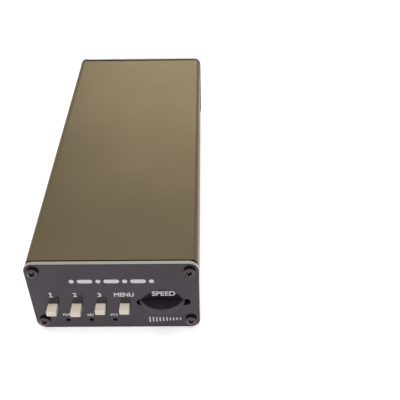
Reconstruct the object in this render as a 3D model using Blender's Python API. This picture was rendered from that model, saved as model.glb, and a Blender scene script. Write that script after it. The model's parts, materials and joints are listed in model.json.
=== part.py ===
# Morse code keyer: a one-piece extruded aluminium case with a board on its rails, closed at each end
# by a panel and four screws. The front panel carries four push buttons, three indicator lamps and a
# speed wheel. The rear panel carries two 3.5 mm jacks, a reset pinhole and a USB-C socket.
# Metres, +Z up, the front panel faces -Y, the origin is on the ground at the middle of the case.

import math

import bmesh
import bpy
from mathutils import Matrix

MM = 0.001

# Clearances
SEAT_GAP = 0.3 * MM            # between pieces that rest on or stop against each other
SLIDE_GAP = 0.3 * MM           # round a button in its window, a stem in its bore, a wheel on its axle
THREAD_GAP = 0.2 * MM          # round a screw in its hole
CUT_OVERRUN = 1.0 * MM         # how far every cut runs past the face that it opens
WELD = 0.001 * MM              # points nearer than this are one point

# Panels and case
PANEL_WIDTH = 50.0 * MM
PANEL_HEIGHT = 28.0 * MM
PANEL_THICKNESS = 1.5 * MM
PANEL_CORNER_RADIUS = 3.0 * MM
PANEL_EDGE_BREAK = 0.2 * MM
OVERALL_LENGTH = 118.0 * MM    # over the outer faces of both panels
CASE_INSET = 0.3 * MM          # the panels stand this much proud of the extrusion's top and sides
CASE_WALL = 1.6 * MM           # the floor is thicker by the inset, so that it ends flush below
CASE_CORNER_RADIUS = 2.0 * MM

# Rails and screw ports of the extrusion
RAIL_THICKNESS = 1.0 * MM
RAIL_REACH = 1.2 * MM
PORT_WALL = 0.75 * MM          # metal on the inner side of a screw port
PORT_SLIT = 0.7 * MM

# Panel screws, with domed pan heads and a cross recess
SCREW_INSET_SIDE = 2.7 * MM
SCREW_INSET_TOP = 3.0 * MM
SCREW_INSET_BOTTOM = 3.7 * MM
SCREW_SHANK_DIAMETER = 1.9 * MM
SCREW_HEAD_DIAMETER = 3.4 * MM
SCREW_HEAD_SIDE = 0.5 * MM     # straight side of the head, under the dome
SCREW_HEAD_DOME = 0.55 * MM
SCREW_LENGTH = 8.0 * MM        # under the head
CROSS_SPAN = 2.5 * MM
CROSS_WIDTH = 0.6 * MM
CROSS_DEPTH = 0.9 * MM
CROSS_FLOOR_SHARE = 0.75       # how much of its span and width is left at the floor
FRONT_SCREW_TURNS = (30.0, 40.0, 60.0, 45.0)     # degrees, as each was driven home
REAR_SCREW_TURNS = (50.0, 15.0, 33.0, 72.0)

# Main board, held by its long edges between the rails
BOARD_THICKNESS = 1.6 * MM
BOARD_BOTTOM = 6.5 * MM        # height of its underside above the ground
BOARD_END_GAP = 0.4 * MM       # to the inside of each panel

# Push buttons, with the side-acting switches behind them
BUTTON_NAMES = ("button_cap_1", "button_cap_2", "button_cap_3", "button_cap_menu")
BUTTON_INSET = 6.2 * MM        # from the panel's left edge to the middle of the first cap
BUTTON_TO_SLOT = 3.6 * MM      # from the middle of the last cap to the wheel's slot
CAP_WIDTH = 2.9 * MM
CAP_HEIGHT = 1.8 * MM
CAP_EDGE_BREAK = 0.15 * MM
CAP_REACH = (3.25 * MM, 3.55 * MM, 2.8 * MM, 2.75 * MM)   # each cap was pushed home by hand
CAP_TAIL = 0.8 * MM            # behind the panel
BUTTON_TRAVEL = 0.3 * MM
STEM_DIAMETER = 1.6 * MM
STEM_FLANGE = 0.6 * MM         # the collar that keeps a stem in its switch stands out this far
STEM_FLANGE_THICKNESS = 0.5 * MM
SWITCH_WIDTH = 4.5 * MM
SWITCH_HEIGHT = 3.5 * MM
SWITCH_COVER = 0.5 * MM        # front wall, which traps the collar
SWITCH_BACK = 1.7 * MM
SWITCH_EDGE_BREAK = 0.25 * MM

# Indicator lamps, hung under the board behind small holes
LAMP_NAMES = ("power_led", "key_led", "ptt_led")
LAMP_PLACE_SHARE = 0.51        # of the way from each button to the next
LAMP_DROP = 2.85 * MM          # axis below the board's underside
LAMP_DIAMETER = 2.0 * MM
LAMP_LENGTH = 3.8 * MM
LAMP_RIM = 0.3 * MM
LAMP_RIM_THICKNESS = 0.9 * MM
LAMP_LEAD = 0.5 * MM
LAMP_LEAD_PITCH = 1.5 * MM
LAMP_DOME_STEPS = 5
LAMP_HOLE_DIAMETER = 1.4 * MM

# Speed wheel and its potentiometer
WHEEL_PLACE_SHARE = 0.554      # of the panel's half width
WHEEL_DIAMETER = 14.5 * MM
WHEEL_THICKNESS = 2.2 * MM
WHEEL_REACH = 3.9 * MM         # in front of the panel
WHEEL_RIB_COUNT = 72
WHEEL_RIB_DEPTH = 0.25 * MM
RIB_POINT_SHARES = ((0.0, 0.0), (0.5, 0.0), (0.75, 1.0))    # of a rib's pitch, and of its depth
WHEEL_RIM_CHAMFER = 0.15 * MM
WHEEL_DISH_DEPTH = 0.9 * MM    # pocket round the axle screw
WHEEL_SLOT_PLACE_SHARE = 0.572   # of the panel's half width: the wheel stands a little off its middle
WHEEL_SLOT_MARGIN = 1.6 * MM   # past the wheel on each side, where it comes through the panel
POT_HEIGHT = 1.8 * MM
POT_DIAMETER = 10.4 * MM
POT_EDGE_BREAK = 0.2 * MM
AXLE_DIAMETER = 2.6 * MM
AXLE_SCREW_DIAMETER = 1.0 * MM
AXLE_SCREW_LENGTH = 2.0 * MM
AXLE_HEAD_DIAMETER = 4.2 * MM
AXLE_HEAD_THICKNESS = 0.4 * MM
DRIVER_SLOT_WIDTH = 0.5 * MM

# 3.5 mm jacks, with places as shares of the panel's half width, as seen from behind
JACK_PLACE_SHARES = {"key": -0.636, "tx": -0.072}
JACK_BORE_DIAMETER = 3.6 * MM
JACK_NOSE_DIAMETER = 4.9 * MM
JACK_NOSE_PROUD = 0.8 * MM
JACK_MOUTH_FLARE = 0.3 * MM    # chamfer round the mouth of the bore
JACK_WIDTH = 6.6 * MM
JACK_HEIGHT = 7.3 * MM
JACK_DEPTH = 14.0 * MM
JACK_BACK_WALL = 1.2 * MM
JACK_EDGE_BREAK = 0.3 * MM
CONTACT_WIDTH = 1.4 * MM
CONTACT_THICKNESS = 0.25 * MM
CONTACT_LENGTH = 3.4 * MM
CONTACT_BITE = 0.2 * MM        # how far a leaf reaches into the bore
CONTACT_PLACE_SHARES = {"tip": (0.0, 0.76), "ring": (180.0, 0.5), "sleeve": (90.0, 0.22)}

# Reset switch behind its pinhole, sunk in a notch of the board
RESET_PLACE_SHARE = 0.32
RESET_RISE = 1.05 * MM         # its axis above the board's top
RESET_HOLE_DIAMETER = 1.25 * MM
RESET_STEM_DIAMETER = 1.2 * MM
RESET_FLANGE = 0.3 * MM
RESET_WIDTH = 4.6 * MM
RESET_HEIGHT = 2.6 * MM
RESET_BACK = 0.8 * MM

# USB-C socket
USB_PLACE_SHARE = 0.664
USB_WIDTH = 8.94 * MM
USB_HEIGHT = 3.2 * MM
USB_WALL = 0.3 * MM
USB_LENGTH = 7.6 * MM
USB_PROUD = 0.3 * MM
USB_STANDOFF = 0.6 * MM        # shell above the board, on its four feet
USB_FOOT_WIDTH = 1.0 * MM
USB_FOOT_PLACE_SHARES = (0.35, 0.85)     # of the shell's length, from its mouth
TONGUE_WIDTH = 6.7 * MM
TONGUE_THICKNESS = 0.7 * MM
TONGUE_SETBACK = 0.9 * MM
TONGUE_BLOCK_LENGTH = 1.8 * MM
TONGUE_GAP = 0.15 * MM

# Circuit components: size in x, y and z, then the place as shares of the board's half sizes
CHIP_EDGE_BREAK = 0.15 * MM
CHIP_SIZES = {
    "microcontroller": (7.0 * MM, 7.0 * MM, 1.2 * MM),
    "usb_serial_chip": (4.0 * MM, 10.0 * MM, 1.6 * MM),
    "crystal": (4.6 * MM, 11.2 * MM, 3.6 * MM),
    "voltage_regulator": (6.5 * MM, 3.6 * MM, 1.7 * MM),
    "keying_optocoupler": (6.4 * MM, 4.6 * MM, 3.5 * MM),
    "ptt_optocoupler": (6.4 * MM, 4.6 * MM, 3.5 * MM),
}
CHIP_PLACE_SHARES = {
    "microcontroller": (0.1, 0.1),
    "usb_serial_chip": (-0.7, 0.52),
    "crystal": (0.5, 0.1),
    "voltage_regulator": (-0.7, 0.15),
    "keying_optocoupler": (0.1, 0.5),
    "ptt_optocoupler": (0.6, 0.5),
}
SOUNDER_DIAMETER = 12.0 * MM
SOUNDER_HEIGHT = 8.5 * MM
SOUNDER_HOLE_DIAMETER = 2.4 * MM
SOUNDER_HOLE_DEPTH = 2.0 * MM
SOUNDER_EDGE_BREAK = 0.5 * MM
SOUNDER_PLACE_SHARES = (-0.35, -0.42)
CAPACITOR_DIAMETER = 6.3 * MM
CAPACITOR_HEIGHT = 7.7 * MM
CAPACITOR_NECK = 0.25 * MM
CAPACITOR_NECK_SHARES = (0.20, 0.24, 0.28)    # of the can's height, up the groove
CAPACITOR_PLACE_SHARES = {"input_capacitor": (-0.2, 0.3), "output_capacitor": (-0.55, -0.1)}

# How finely curves are divided
CORNER_STEPS = 6
BORE_STEPS = 20
SMALL_STEPS = 16
RIM_STEPS = 32
DOME_STEPS = 4
SHARP_ANGLE = math.radians(35.0)
BREAK_ANGLE = math.radians(50.0)
QUARTER_TURN = math.radians(90.0)
HALF_TURN = math.radians(180.0)
FULL_TURN = math.radians(360.0)

# Places that follow from the sizes above
BACK_OF_PANEL = -PANEL_THICKNESS                 # along a panel's outward axis, its face being zero
INSIDE_FACE = BACK_OF_PANEL - SEAT_GAP           # where what stands behind a panel begins
CASE_WIDTH = PANEL_WIDTH - 2 * CASE_INSET
CASE_HEIGHT = PANEL_HEIGHT - CASE_INSET
CASE_LENGTH = OVERALL_LENGTH - 2 * (PANEL_THICKNESS + SEAT_GAP)
MID_HEIGHT = PANEL_HEIGHT / 2
HALF_WIDTH = PANEL_WIDTH / 2
CAVITY_HALF_WIDTH = CASE_WIDTH / 2 - CASE_WALL
CAVITY_HALF_HEIGHT = MID_HEIGHT - CASE_INSET - CASE_WALL
BOARD_TOP = BOARD_BOTTOM + BOARD_THICKNESS
BOARD_WIDTH = 2 * (CAVITY_HALF_WIDTH - SEAT_GAP)
BOARD_LENGTH = OVERALL_LENGTH - 2 * (PANEL_THICKNESS + BOARD_END_GAP)
PARTS_FLOOR = BOARD_TOP + SEAT_GAP               # where components stand
SCREW_X = HALF_WIDTH - SCREW_INSET_SIDE
SCREW_RISE = MID_HEIGHT - SCREW_INSET_TOP        # from the middle of the panel
SCREW_DROP = MID_HEIGHT - SCREW_INSET_BOTTOM
SCREW_HOLE_RADIUS = SCREW_SHANK_DIAMETER / 2 + THREAD_GAP
WHEEL_BOTTOM = PARTS_FLOOR + POT_HEIGHT + SEAT_GAP
WHEEL_TOP = WHEEL_BOTTOM + WHEEL_THICKNESS
WHEEL_X = WHEEL_PLACE_SHARE * HALF_WIDTH
WHEEL_Y = -OVERALL_LENGTH / 2 - WHEEL_REACH + WHEEL_DIAMETER / 2
WHEEL_HALF_CHORD = math.sqrt(WHEEL_REACH * (WHEEL_DIAMETER - WHEEL_REACH))    # in the panel's face
WHEEL_SLOT_X = WHEEL_SLOT_PLACE_SHARE * HALF_WIDTH
WHEEL_SLOT_WIDTH = 2 * (WHEEL_HALF_CHORD + WHEEL_SLOT_MARGIN)
WHEEL_SLOT_HEIGHT = WHEEL_THICKNESS + 2 * SLIDE_GAP
BUTTON_FIRST_X = BUTTON_INSET - HALF_WIDTH
BUTTON_LAST_X = WHEEL_SLOT_X - WHEEL_SLOT_WIDTH / 2 - BUTTON_TO_SLOT
BUTTON_PITCH = (BUTTON_LAST_X - BUTTON_FIRST_X) / (len(BUTTON_NAMES) - 1)
BUTTON_X = [BUTTON_FIRST_X + index * BUTTON_PITCH for index in range(len(BUTTON_NAMES))]
BUTTON_Z = PARTS_FLOOR + SWITCH_HEIGHT / 2
LAMP_Z = BOARD_BOTTOM - LAMP_DROP
JACK_X = {side: share * HALF_WIDTH for side, share in JACK_PLACE_SHARES.items()}
RESET_X = RESET_PLACE_SHARE * HALF_WIDTH
USB_X = USB_PLACE_SHARE * HALF_WIDTH
JACK_Z = PARTS_FLOOR + JACK_HEIGHT / 2
USB_Z = BOARD_TOP + USB_STANDOFF + USB_HEIGHT / 2
RESET_Z = BOARD_TOP + RESET_RISE

COLOURS = {                                       # sRGB, roughness, metallic
    "anodised_case": ((0.40, 0.35, 0.27), 0.38, 1.0),
    "coated_panel": ((0.33, 0.31, 0.33), 0.30, 0.3),
    "black_screw": ((0.16, 0.14, 0.14), 0.35, 1.0),
    "circuit_board": ((0.05, 0.26, 0.16), 0.50, 0.0),
    "cream_cap": ((0.82, 0.78, 0.70), 0.45, 0.0),
    "black_plastic": ((0.07, 0.07, 0.07), 0.50, 0.0),
    "clear_lamp": ((0.70, 0.72, 0.70), 0.15, 0.0),
    "brass": ((0.78, 0.62, 0.32), 0.30, 1.0),
    "bright_steel": ((0.75, 0.75, 0.74), 0.28, 1.0),
    "chip_black": ((0.10, 0.10, 0.11), 0.60, 0.0),
    "capacitor_can": ((0.72, 0.72, 0.72), 0.35, 1.0),
}


def clear_scene():
    for item in list(bpy.data.objects):
        bpy.data.objects.remove(item, do_unlink=True)


def linear(channel):
    if channel <= 0.04045:
        return channel / 12.92
    return ((channel + 0.055) / 1.055) ** 2.4


def make_materials():
    made = {}
    for name, (colour, roughness, metallic) in COLOURS.items():
        material = bpy.data.materials.new(name)
        material.use_nodes = True
        shader = material.node_tree.nodes["Principled BSDF"]
        shader.inputs["Base Color"].default_value = (*[linear(part) for part in colour], 1.0)
        shader.inputs["Roughness"].default_value = roughness
        shader.inputs["Metallic"].default_value = metallic
        made[name] = material
    return made


# Outlines, as lists of points

def arc(centre, radius, start, end, steps):
    turn = (end - start) / steps
    return [(centre[0] + radius * math.cos(start + turn * index),
             centre[1] + radius * math.sin(start + turn * index)) for index in range(steps + 1)]


def circle(radius, steps, centre=(0.0, 0.0)):
    return arc(centre, radius, 0.0, FULL_TURN, steps)[:-1]


def rounded_rectangle(width, height, radius, centre=(0.0, 0.0), steps=CORNER_STEPS):
    outline = []
    for index, (across, up) in enumerate(((1, 1), (-1, 1), (-1, -1), (1, -1))):
        corner = (centre[0] + across * (width / 2 - radius), centre[1] + up * (height / 2 - radius))
        start = index * QUARTER_TURN
        outline += arc(corner, radius, start, start + QUARTER_TURN, steps)
    return outline


def slot_outline(width, height, centre=(0.0, 0.0)):
    right = (centre[0] + (width - height) / 2, centre[1])
    left = (centre[0] - (width - height) / 2, centre[1])
    steps = 2 * CORNER_STEPS
    return (arc(right, height / 2, -QUARTER_TURN, QUARTER_TURN, steps)
            + arc(left, height / 2, QUARTER_TURN, QUARTER_TURN + HALF_TURN, steps))


# Solids, as bmeshes

def extruded(outline, start, end):
    shape = bmesh.new()
    base = shape.faces.new([shape.verts.new((x, y, start)) for x, y in outline])
    grown = bmesh.ops.extrude_face_region(shape, geom=[base])["geom"]
    raised = [item for item in grown if isinstance(item, bmesh.types.BMVert)]
    bmesh.ops.translate(shape, verts=raised, vec=(0.0, 0.0, end - start))
    bmesh.ops.recalc_face_normals(shape, faces=shape.faces)
    return shape


def turned(profile, steps):
    # A profile of (radius, height) that starts and ends on the axis, spun round Z.
    shape = bmesh.new()
    points = [shape.verts.new((radius, 0.0, height)) for radius, height in profile]
    edges = [shape.edges.new(pair) for pair in zip(points, points[1:])]
    bmesh.ops.spin(shape, geom=points + edges, cent=(0.0, 0.0, 0.0), axis=(0.0, 0.0, 1.0),
                   angle=FULL_TURN, steps=steps, use_merge=True)
    bmesh.ops.remove_doubles(shape, verts=shape.verts, dist=WELD)
    bmesh.ops.recalc_face_normals(shape, faces=shape.faces)
    return shape


def block(size, centre, edge_break=0.0):
    shape = bmesh.new()
    bmesh.ops.create_cube(shape, size=1.0)
    bmesh.ops.scale(shape, vec=size, verts=shape.verts)
    if edge_break:
        bmesh.ops.bevel(shape, geom=shape.edges[:], offset=edge_break, segments=2, profile=0.5,
                        affect="EDGES", clamp_overlap=True)
    bmesh.ops.translate(shape, vec=centre, verts=shape.verts)
    return shape


def combined(shapes):
    whole = bmesh.new()
    for shape in shapes:
        carrier = bpy.data.meshes.new("carrier")
        shape.to_mesh(carrier)
        shape.free()
        whole.from_mesh(carrier)
        bpy.data.meshes.remove(carrier)
    return whole


def moved(shape, offset):
    bmesh.ops.translate(shape, vec=offset, verts=shape.verts)
    return shape


def spun(shape, angle, axis="Z"):
    bmesh.ops.rotate(shape, cent=(0.0, 0.0, 0.0), matrix=Matrix.Rotation(angle, 3, axis),
                     verts=shape.verts)
    return shape


# Objects

def make_frame(name, location, rotation):
    frame = bpy.data.objects.new(name, None)
    bpy.context.collection.objects.link(frame)
    frame.location = location
    frame.rotation_euler = rotation
    return frame


def make_piece(name, shape, material=None, parent=None, location=(0.0, 0.0, 0.0),
               rotation=(0.0, 0.0, 0.0)):
    mesh = bpy.data.meshes.new(name)
    shape.to_mesh(mesh)
    shape.free()
    mesh.shade_smooth()
    mesh.set_sharp_from_angle(angle=SHARP_ANGLE)
    piece = bpy.data.objects.new(name, mesh)
    bpy.context.collection.objects.link(piece)
    if material:
        mesh.materials.append(material)
    piece.parent = parent
    piece.location = location
    piece.rotation_euler = rotation
    return piece


def combine_with(piece, name, shape, operation):
    tool = make_piece(name, shape, parent=piece)
    tool.hide_render = True
    tool.display_type = "WIRE"
    modifier = piece.modifiers.new(name, "BOOLEAN")
    modifier.operation = operation
    modifier.solver = "EXACT"
    modifier.object = tool


def cut(piece, name, shape):
    combine_with(piece, name, shape, "DIFFERENCE")


def fuse(piece, name, shape):
    combine_with(piece, name, shape, "UNION")


def break_edges(piece, width):
    modifier = piece.modifiers.new("edge_break", "BEVEL")
    modifier.width = width
    modifier.segments = 1
    modifier.limit_method = "ANGLE"
    modifier.angle_limit = BREAK_ANGLE


# The extruded case

def quarter_cavity(screw_z):
    # From the top or bottom wall's screw port to the side wall's rail, as distances from the panels' middle.
    port_side = SCREW_X - SCREW_HOLE_RADIUS - PORT_WALL
    port_face = MID_HEIGHT - (BOARD_BOTTOM - SEAT_GAP)
    rail_outer = port_face - BOARD_THICKNESS - 2 * SEAT_GAP
    rail_inner = rail_outer - RAIL_THICKNESS
    rail_end = CAVITY_HALF_WIDTH - RAIL_REACH
    mouth = math.asin(PORT_SLIT / 2 / SCREW_HOLE_RADIUS)
    port = arc((SCREW_X, screw_z), SCREW_HOLE_RADIUS, HALF_TURN - mouth, mouth - HALF_TURN, SMALL_STEPS)
    return ([(port_side, CAVITY_HALF_HEIGHT), (port_side, screw_z + PORT_SLIT / 2)] + port
            + [(port_side, screw_z - PORT_SLIT / 2), (port_side, port_face),
               (CAVITY_HALF_WIDTH, port_face), (CAVITY_HALF_WIDTH, rail_outer),
               (rail_end, rail_outer), (rail_end, rail_inner), (CAVITY_HALF_WIDTH, rail_inner)])


def cavity_outline():
    upper = quarter_cavity(SCREW_RISE)
    lower = quarter_cavity(SCREW_DROP)
    lower_right = [(x, -y) for x, y in reversed(lower)]
    lower_left = [(-x, -y) for x, y in lower]
    upper_left = [(-x, y) for x, y in reversed(upper)]
    return upper + lower_right + lower_left + upper_left


def make_case(materials):
    lying = (QUARTER_TURN, 0.0, 0.0)
    outside = rounded_rectangle(CASE_WIDTH, CASE_HEIGHT, CASE_CORNER_RADIUS, (0.0, -CASE_INSET / 2))
    half = CASE_LENGTH / 2
    case = make_piece("case_body", extruded(outside, -half, half), materials["anodised_case"],
                      location=(0.0, 0.0, MID_HEIGHT), rotation=lying)
    cut(case, "case_cavity", extruded(cavity_outline(), -half - CUT_OVERRUN, half + CUT_OVERRUN))


# Panels and their screws

def screw_places():
    top = MID_HEIGHT + SCREW_RISE
    bottom = MID_HEIGHT - SCREW_DROP
    return [(-SCREW_X, bottom), (SCREW_X, bottom), (SCREW_X, top), (-SCREW_X, top)]


def round_hole(diameter, place):
    return extruded(circle(diameter / 2, BORE_STEPS, place), BACK_OF_PANEL - CUT_OVERRUN, CUT_OVERRUN)


def make_panel(name, frame, openings, materials):
    outline = rounded_rectangle(PANEL_WIDTH, PANEL_HEIGHT, PANEL_CORNER_RADIUS, (0.0, MID_HEIGHT))
    panel = make_piece(name, extruded(outline, BACK_OF_PANEL, 0.0), materials["coated_panel"], frame)
    break_edges(panel, PANEL_EDGE_BREAK)
    screw_holes = [round_hole(2 * SCREW_HOLE_RADIUS, place) for place in screw_places()]
    cut(panel, name + "_openings", combined(screw_holes + openings))


def screw_shape():
    # Its head rests on the panel's face, a seat gap above it, and its shank enters the case's port.
    shank = SCREW_SHANK_DIAMETER / 2
    head = SCREW_HEAD_DIAMETER / 2
    under = SEAT_GAP
    rim = under + SCREW_HEAD_SIDE
    tip = under - SCREW_LENGTH
    dome_radius = (head ** 2 + SCREW_HEAD_DOME ** 2) / (2 * SCREW_HEAD_DOME)
    dome_half_angle = math.asin(head / dome_radius)
    dome_middle = rim + SCREW_HEAD_DOME - dome_radius
    angles = [dome_half_angle * (DOME_STEPS - index) / DOME_STEPS for index in range(1, DOME_STEPS)]
    dome = [(dome_radius * math.sin(angle), dome_middle + dome_radius * math.cos(angle)) for angle in angles]
    profile = [(0.0, tip), (shank / 2, tip), (shank, tip + shank / 2), (shank, under), (head, under), (head, rim)]
    return turned(profile + dome + [(0.0, rim + SCREW_HEAD_DOME)], SMALL_STEPS)


def cross_recess():
    # Two crossed bars that narrow with depth.
    crown = SEAT_GAP + SCREW_HEAD_SIDE + SCREW_HEAD_DOME
    top = crown + CUT_OVERRUN
    bottom = crown - CROSS_DEPTH
    half_span = CROSS_SPAN / 2
    half_width = CROSS_WIDTH / 2
    outline = [(half_span, -half_width), (half_span, half_width), (half_width, half_width),
               (half_width, half_span), (-half_width, half_span), (-half_width, half_width),
               (-half_span, half_width), (-half_span, -half_width), (-half_width, -half_width),
               (-half_width, -half_span), (half_width, -half_span), (half_width, -half_width)]
    recess = extruded(outline, bottom, top)
    for point in recess.verts:
        if point.co.z < (bottom + top) / 2:
            point.co.x *= CROSS_FLOOR_SHARE
            point.co.y *= CROSS_FLOOR_SHARE
    return recess


def make_screws(name, frame, turns, materials):
    for index, (place, turn) in enumerate(zip(screw_places(), turns), start=1):
        label = f"{name}_{index}"
        screw = make_piece(label, screw_shape(), materials["black_screw"], frame, (*place, 0.0),
                           (0.0, 0.0, math.radians(turn)))
        cut(screw, label + "_recess", cross_recess())


# Buttons and switches. Along the panel's outward axis, a plunger is a head, a stem that enters the
# switch and a collar trapped behind the switch's front wall.

def switch_front(plunger_back, travel):
    return plunger_back - travel - SEAT_GAP


def well_depth(travel):
    return STEM_FLANGE_THICKNESS + travel + 2 * SEAT_GAP


def switch_back(front, depth_behind, travel):
    return front - SWITCH_COVER - well_depth(travel) - depth_behind


def plunger_stem(diameter, flange, head_back, front):
    radius = diameter / 2
    collar_front = front - SWITCH_COVER - SEAT_GAP
    collar_back = collar_front - STEM_FLANGE_THICKNESS
    root = head_back + SEAT_GAP
    profile = [(0.0, collar_back), (radius + flange, collar_back), (radius + flange, collar_front),
               (radius, collar_front), (radius, root), (0.0, root)]
    return turned(profile, SMALL_STEPS)


def switch_housing(name, frame, place, size, depth_behind, stem, flange, front, travel, materials):
    width, height = size
    well_front = front - SWITCH_COVER
    well_back = well_front - well_depth(travel)
    back = switch_back(front, depth_behind, travel)
    body = block((width, height, front - back), (0.0, 0.0, (front + back) / 2), SWITCH_EDGE_BREAK)
    housing = make_piece(name, body, materials["black_plastic"], frame, (*place, 0.0))
    bore = stem / 2 + SLIDE_GAP
    well = stem / 2 + flange + SLIDE_GAP
    profile = [(0.0, well_back), (well, well_back), (well, well_front),
               (bore, well_front), (bore, front + CUT_OVERRUN), (0.0, front + CUT_OVERRUN)]
    cut(housing, name + "_well", turned(profile, SMALL_STEPS))


def make_buttons(frame, materials):
    back = BACK_OF_PANEL - CAP_TAIL
    front = switch_front(back, BUTTON_TRAVEL)
    for index, name in enumerate(BUTTON_NAMES):
        reach = CAP_REACH[index]
        place = (BUTTON_X[index], BUTTON_Z)
        head = block((CAP_WIDTH, CAP_HEIGHT, reach - back), (0.0, 0.0, (reach + back) / 2), CAP_EDGE_BREAK)
        cap = make_piece(name, head, materials["cream_cap"], frame, (*place, 0.0))
        fuse(cap, name + "_stem", plunger_stem(STEM_DIAMETER, STEM_FLANGE, back, front))
        switch_housing(name.replace("button_cap", "tact_switch"), frame, place,
                       (SWITCH_WIDTH, SWITCH_HEIGHT), SWITCH_BACK, STEM_DIAMETER, STEM_FLANGE, front,
                       BUTTON_TRAVEL, materials)


def button_windows():
    start = BACK_OF_PANEL - CUT_OVERRUN
    size = (CAP_WIDTH + 2 * SLIDE_GAP, CAP_HEIGHT + 2 * SLIDE_GAP)
    return [extruded(rounded_rectangle(*size, SLIDE_GAP, (x, BUTTON_Z), 2), start, CUT_OVERRUN)
            for x in BUTTON_X]


# Indicator lamps

def lamp_places():
    offset = LAMP_PLACE_SHARE * BUTTON_PITCH
    return [(BUTTON_X[index] + offset, LAMP_Z) for index in range(len(LAMP_NAMES))]


def make_lamps(frame, materials):
    radius = LAMP_DIAMETER / 2
    back = INSIDE_FACE - LAMP_LENGTH
    rim_front = back + LAMP_RIM_THICKNESS
    angles = [QUARTER_TURN * index / LAMP_DOME_STEPS for index in range(LAMP_DOME_STEPS)]
    dome = [(radius * math.cos(angle), INSIDE_FACE - radius + radius * math.sin(angle)) for angle in angles]
    profile = [(0.0, back), (radius + LAMP_RIM, back), (radius + LAMP_RIM, rim_front),
               (radius, rim_front)] + dome + [(0.0, INSIDE_FACE)]
    lead_top = LAMP_DROP - SEAT_GAP
    for name, place in zip(LAMP_NAMES, lamp_places()):
        lamp = make_piece(name, turned(profile, SMALL_STEPS), materials["clear_lamp"], frame, (*place, 0.0))
        leads = []
        for side in (-1, 1):
            x = side * LAMP_LEAD_PITCH / 2
            leads.append(block((LAMP_LEAD, LAMP_LEAD, 2 * LAMP_LEAD), (x, 0.0, back - LAMP_LEAD / 2)))
            leads.append(block((LAMP_LEAD, lead_top + LAMP_LEAD / 2, LAMP_LEAD),
                               (x, (lead_top - LAMP_LEAD / 2) / 2, back - LAMP_LEAD)))
        for count, lead in enumerate(leads):
            fuse(lamp, f"{name}_lead_{count}", lead)


# Speed wheel, seen from above: a ribbed disc that turns on the post of a D-shaped potentiometer base

def ribbed_outline(radius):
    pitch = FULL_TURN / WHEEL_RIB_COUNT
    outline = []
    for index in range(WHEEL_RIB_COUNT):
        start = index * pitch
        for turn_share, depth_share in RIB_POINT_SHARES:
            angle = start + turn_share * pitch
            reach = radius - depth_share * WHEEL_RIB_DEPTH
            outline.append((reach * math.cos(angle), reach * math.sin(angle)))
    return outline


def make_wheel(materials):
    radius = WHEEL_DIAMETER / 2
    wheel = make_piece("speed_wheel", extruded(ribbed_outline(radius), 0.0, WHEEL_THICKNESS),
                       materials["black_plastic"], location=(WHEEL_X, WHEEL_Y, WHEEL_BOTTOM))
    break_edges(wheel, WHEEL_RIM_CHAMFER)
    dish = AXLE_HEAD_DIAMETER / 2 + SLIDE_GAP
    dish_floor = WHEEL_THICKNESS - WHEEL_DISH_DEPTH
    bore = AXLE_DIAMETER / 2 + SLIDE_GAP
    profile = [(0.0, -CUT_OVERRUN), (bore, -CUT_OVERRUN), (bore, dish_floor), (dish, dish_floor),
               (dish, WHEEL_THICKNESS + CUT_OVERRUN), (0.0, WHEEL_THICKNESS + CUT_OVERRUN)]
    cut(wheel, "speed_wheel_bore", turned(profile, BORE_STEPS))


def make_potentiometer(materials):
    radius = POT_DIAMETER / 2
    front_room = WHEEL_Y + OVERALL_LENGTH / 2 - PANEL_THICKNESS - SEAT_GAP
    flat = min(front_room, radius)
    half_angle = math.acos(flat / radius)
    outline = arc((0.0, 0.0), radius, half_angle - QUARTER_TURN, FULL_TURN - QUARTER_TURN - half_angle,
                  RIM_STEPS)
    base = make_piece("speed_pot_base", extruded(outline, 0.0, POT_HEIGHT), materials["chip_black"],
                      location=(WHEEL_X, WHEEL_Y, PARTS_FLOOR))
    break_edges(base, POT_EDGE_BREAK)
    post_top = WHEEL_TOP - WHEEL_DISH_DEPTH - PARTS_FLOOR
    fuse(base, "speed_pot_post", extruded(circle(AXLE_DIAMETER / 2, BORE_STEPS), POT_HEIGHT / 2, post_top))
    thread = AXLE_SCREW_DIAMETER / 2 + THREAD_GAP
    thread_bottom = post_top - AXLE_SCREW_LENGTH - THREAD_GAP
    cut(base, "speed_pot_thread", extruded(circle(thread, SMALL_STEPS), thread_bottom, post_top + CUT_OVERRUN))


def make_axle_screw(materials):
    head_bottom = SEAT_GAP
    head_top = head_bottom + AXLE_HEAD_THICKNESS
    shank = AXLE_SCREW_DIAMETER / 2
    head = AXLE_HEAD_DIAMETER / 2
    profile = [(0.0, head_bottom - AXLE_SCREW_LENGTH), (shank, head_bottom - AXLE_SCREW_LENGTH),
               (shank, head_bottom), (head, head_bottom), (head, head_top), (0.0, head_top)]
    dish_floor = WHEEL_TOP - WHEEL_DISH_DEPTH
    screw = make_piece("speed_wheel_screw", turned(profile, BORE_STEPS), materials["bright_steel"],
                       location=(WHEEL_X, WHEEL_Y, dish_floor))
    slot = block((AXLE_HEAD_DIAMETER + CUT_OVERRUN, DRIVER_SLOT_WIDTH, AXLE_HEAD_THICKNESS),
                 (0.0, 0.0, head_top))
    cut(screw, "speed_wheel_screw_slot", slot)


# Jacks

def contact_leaf(start, end):
    # A bowed leaf in the XZ plane whose middle third bites into the bore.
    bore = JACK_BORE_DIAMETER / 2
    deep = bore - CONTACT_BITE
    shallow = JACK_WIDTH / 2 - SEAT_GAP - CONTACT_THICKNESS
    third = (end - start) / 3
    inner = [(shallow, start), (deep, start + third), (deep, end - third), (shallow, end)]
    outer = [(x + CONTACT_THICKNESS, z) for x, z in reversed(inner)]
    leaf = extruded(inner + outer, -CONTACT_WIDTH / 2, CONTACT_WIDTH / 2)
    return spun(leaf, QUARTER_TURN, "X")


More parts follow.
